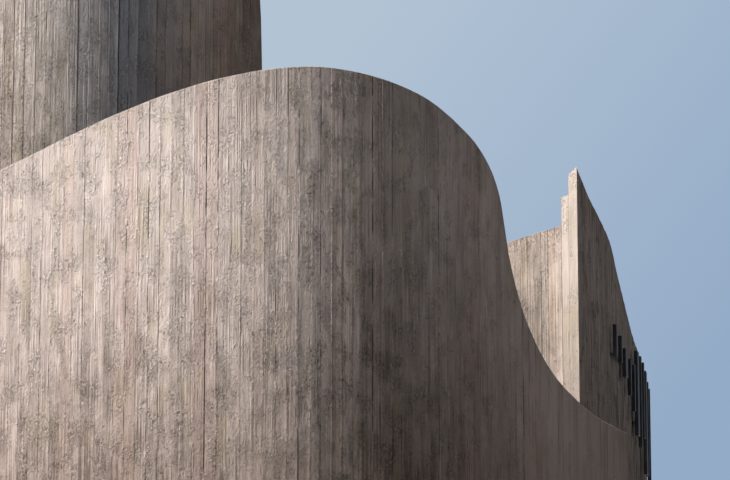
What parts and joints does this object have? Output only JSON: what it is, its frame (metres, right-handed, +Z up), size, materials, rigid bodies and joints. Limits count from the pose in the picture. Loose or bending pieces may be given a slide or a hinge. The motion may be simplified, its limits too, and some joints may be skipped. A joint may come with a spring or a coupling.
{
  "type": "modern concrete church building",
  "caption": "Modern church of board-marked concrete: curved sweep walls with swooping tops wrap tall sails, a hollow room and open entrance courts.",
  "frame": {"origin": "the middle of the plan at ground level, on the underside of the floor slab", "axes": "+Z up; the street front of the picture faces -Y, so its viewer looks along +Y with +X to the right"},
  "size_m": [16.2712, 25.649, 15.502],
  "materials": {
    "board_marked_concrete": "raw concrete cast against rough sawn boards, matt, weathered",
    "dark_metal": "satin blue-black coating",
    "window_glass": "clear",
    "oiled_oak": "oiled boards",
    "ground_concrete_floor": "power floated",
    "roof_membrane": "mineral roof finish on a concrete slab"
  },
  "bodies": {
    "root": {"south_sweep_wall_1": "board_marked_concrete", "south_sweep_wall_2": "board_marked_concrete", "south_sweep_wall_3": "board_marked_concrete", "south_sweep_wall_4": "board_marked_concrete", "south_sweep_wall_5": "board_marked_concrete", "south_sweep_wall_6": "board_marked_concrete", "south_court_wall_1": "board_marked_concrete", "south_court_wall_2": "board_marked_concrete", "south_court_wall_3": "board_marked_concrete", "south_court_wall_4": "board_marked_concrete", "west_window_frame_1": "dark_metal", "west_window_glass_1": "window_glass", "west_window_frame_2": "dark_metal", "west_window_glass_2": "window_glass", "west_window_frame_3": "dark_metal", "west_window_glass_3": "window_glass", "south_door_frame": "dark_metal", "south_door_leaf_left": "oiled_oak", "south_door_leaf_right": "oiled_oak", "south_door_canopy": "board_marked_concrete", "south_rooflight_glass": "window_glass", "north_sweep_wall_1": "board_marked_concrete", "north_sweep_wall_2": "board_marked_concrete", "north_sweep_wall_3": "board_marked_concrete", "north_sweep_wall_4": "board_marked_concrete", "north_sweep_wall_5": "board_marked_concrete", "north_sweep_wall_6": "board_marked_concrete", "north_court_wall_1": "board_marked_concrete", "north_court_wall_2": "board_marked_concrete", "north_court_wall_3": "board_marked_concrete", "north_court_wall_4": "board_marked_concrete", "east_window_frame_1": "dark_metal", "east_window_glass_1": "window_glass", "east_window_frame_2": "dark_metal", "east_window_glass_2": "window_glass", "east_window_frame_3": "dark_metal", "east_window_glass_3": "window_glass", "north_door_frame": "dark_metal", "north_door_leaf_left": "oiled_oak", "north_door_leaf_right": "oiled_oak", "north_door_canopy": "board_marked_concrete", "north_rooflight_glass": "window_glass", "nave_floor_slab": "ground_concrete_floor", "nave_roof_slab": "roof_membrane", "flank_relief_fins": "dark_metal"}
  },
  "joints": []
}
